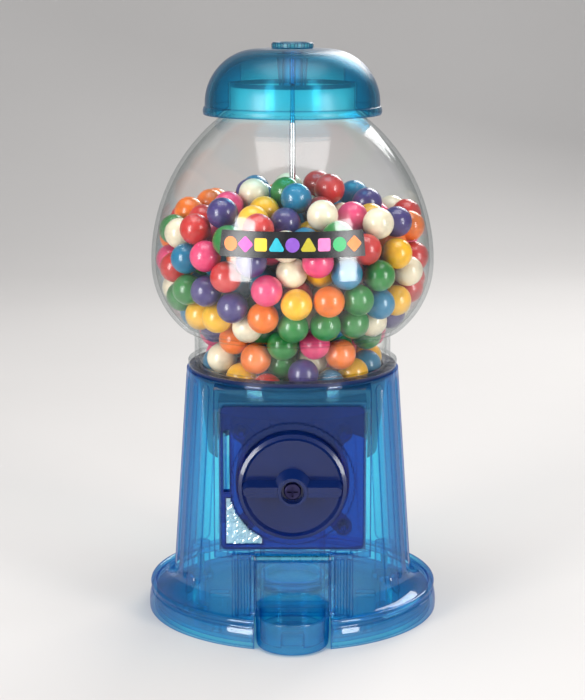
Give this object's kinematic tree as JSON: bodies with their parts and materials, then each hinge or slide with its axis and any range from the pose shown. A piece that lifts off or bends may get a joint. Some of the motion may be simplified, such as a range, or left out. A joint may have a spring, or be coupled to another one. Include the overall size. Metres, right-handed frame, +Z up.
{
  "type": "gumball machine",
  "caption": "Table-top gumball machine and coin bank: clear globe of gumballs on a fluted see-through blue base, with a turning knob, flap, tray and lift-off lid.",
  "frame": {"origin": "at the height of the table, under the middle of the bounding box, which is 3.77 mm in front of the vertical axis of the globe and rod", "axes": "+Z up along the axis of the globe and rod, -Y towards the front with the knob and tray, +X to the right as seen from the front"},
  "size_m": [0.1228, 0.1302, 0.2376],
  "materials": {
    "blue_shell": "clear blue moulded plastic, polished",
    "blue_dark": "clear deep blue moulded plastic, polished",
    "blue_lid": "clear azure moulded plastic, polished",
    "clear": "clear colourless moulded plastic, polished",
    "steel": "bright steel",
    "steel_dark": "darkened steel",
    "label_black": "gloss black film",
    "rubber_blue": "soft rubber",
    "gum_red": "candy glaze",
    "gum_orange": "candy glaze",
    "gum_yellow": "candy glaze",
    "gum_green": "candy glaze",
    "gum_teal": "candy glaze",
    "gum_purple": "candy glaze",
    "gum_pink": "candy glaze",
    "gum_white": "candy glaze"
  },
  "bodies": {
    "machine": {"base_shell": "blue_shell", "front_plate": "blue_dark", "pawl_spring": "steel", "drum_housing": "blue_dark", "housing_screws": "steel", "chute": "blue_shell", "coin_guide": "blue_shell", "hopper": "blue_dark", "centre_rod": "steel", "rod_washer": "steel", "rod_nut": "steel", "globe": "clear", "label_panel": "label_black", "tray": "blue_shell", "flap_pin": "steel", "bottom_plate": "blue_shell", "bottom_screws": "steel", "gumballs_red": "gum_red", "gumballs_orange": "gum_orange", "gumballs_yellow": "gum_yellow", "gumballs_green": "gum_green", "gumballs_teal": "gum_teal", "gumballs_purple": "gum_purple", "gumballs_pink": "gum_pink", "gumballs_white": "gum_white"},
    "knob": {"knob": "blue_dark", "knob_screw": "steel_dark", "drum": "blue_dark", "ratchet_wheel": "blue_dark", "shaft_clip": "steel", "gumball_in_drum": "gum_pink"},
    "pawl": {"pawl": "blue_dark"},
    "flap": {"flap": "blue_shell"},
    "lid": {"lid": "blue_lid"},
    "lid_cap": {"lid_cap": "blue_lid"},
    "coin_plug": {"coin_plug": "rubber_blue"}
  },
  "joints": [
    {"name": "knob_spin", "type": "hinge", "parent": "machine", "child": "knob", "pos_m": [0, -0.04623, 0.0655], "axis": [0, 1, 0], "continuous": true},
    {"name": "pawl_lift", "type": "hinge", "parent": "machine", "child": "pawl", "pos_m": [-0.0155, -0.03993, 0.0768], "axis": [0, -1, 0], "range_deg": [0, 9], "stiffness_Nm_per_rad": 0.002, "springref_deg": -5.73, "deforming": ["pawl_spring"]},
    {"name": "flap_hinge", "type": "hinge", "parent": "machine", "child": "flap", "pos_m": [0, -0.04443, 0.0344], "axis": [-1, 0, 0], "range_deg": [0, 70]},
    {"name": "lid_lift", "type": "slide", "parent": "machine", "child": "lid", "axis": [0, 0, 1], "range_m": [0, 0.06]},
    {"name": "cap_spin", "type": "hinge", "parent": "lid", "child": "lid_cap", "pos_m": [0, 0.00377, 0.236], "axis": [0, 0, 1], "continuous": true},
    {"name": "plug_pull", "type": "slide", "parent": "machine", "child": "coin_plug", "axis": [0, 0, -1], "range_m": [0, 0.012]}
  ]
}
